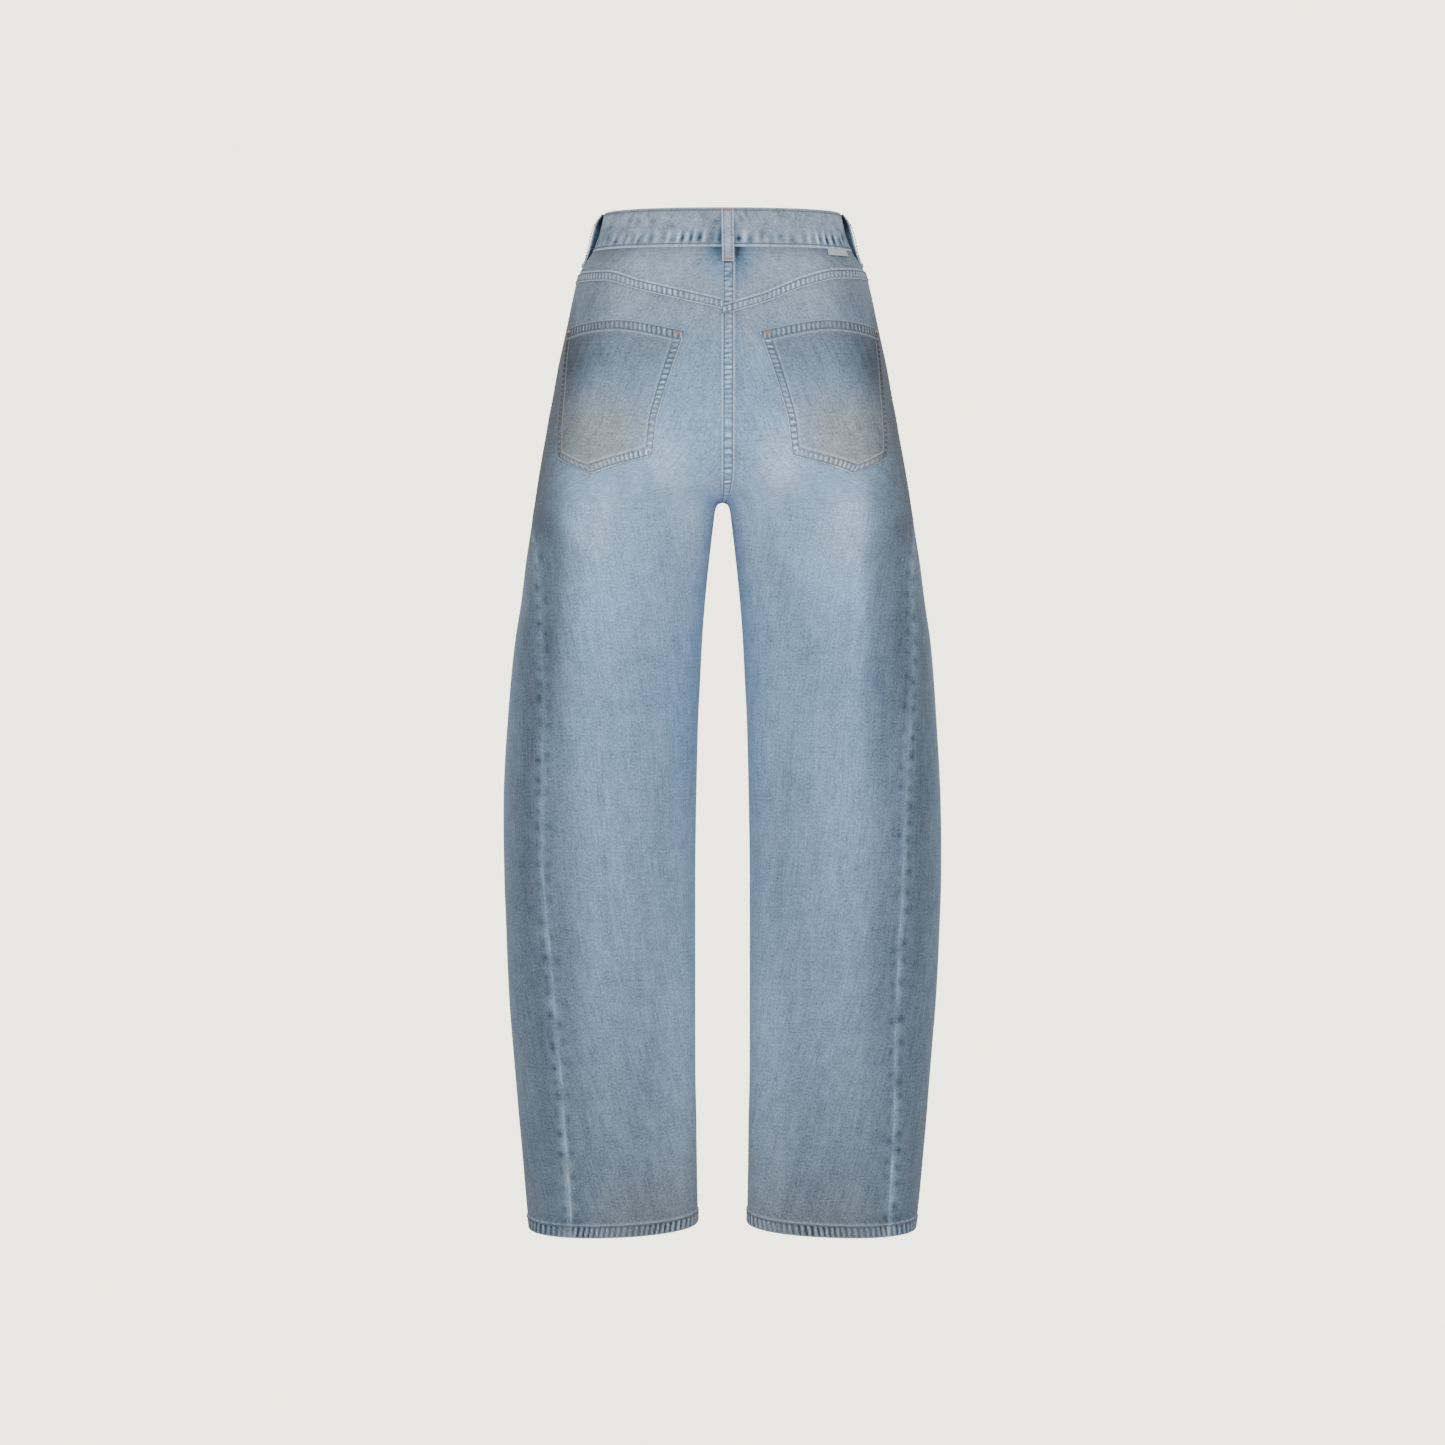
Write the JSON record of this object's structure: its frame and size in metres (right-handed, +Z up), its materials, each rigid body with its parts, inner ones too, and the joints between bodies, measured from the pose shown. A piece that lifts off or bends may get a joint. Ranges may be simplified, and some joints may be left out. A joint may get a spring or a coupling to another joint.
{
  "type": "barrel-leg jeans",
  "caption": "Wide barrel-leg jeans held in worn shape with no wearer: open waist and hems, back yoke, patch pockets, belt loops.",
  "frame": {"origin": "on the garment's middle plane at the waist, at the height of the waistband's top edge at the sides", "axes": "+Z up the garment, +Y out of its back, +X to the wearer's left"},
  "size_m": [0.4593, 0.2364, 1.065],
  "materials": {
    "denim": "faded blue denim twill",
    "label_cloth": "plain woven tape",
    "button_metal": "aged satin"
  },
  "bodies": {
    "root": {"waistband": "denim", "yoke_left": "denim", "yoke_right": "denim", "back_left": "denim", "back_right": "denim", "front_left": "denim", "front_right": "denim", "pocket_facing_left": "denim", "pocket_facing_right": "denim", "pocket_back_left": "denim", "pocket_back_right": "denim", "loop_back": "denim", "loop_side_left": "denim", "loop_side_right": "denim", "loop_front_left": "denim", "loop_front_right": "denim", "label_tab": "label_cloth", "fly_shield": "denim", "button": "button_metal"}
  },
  "joints": []
}
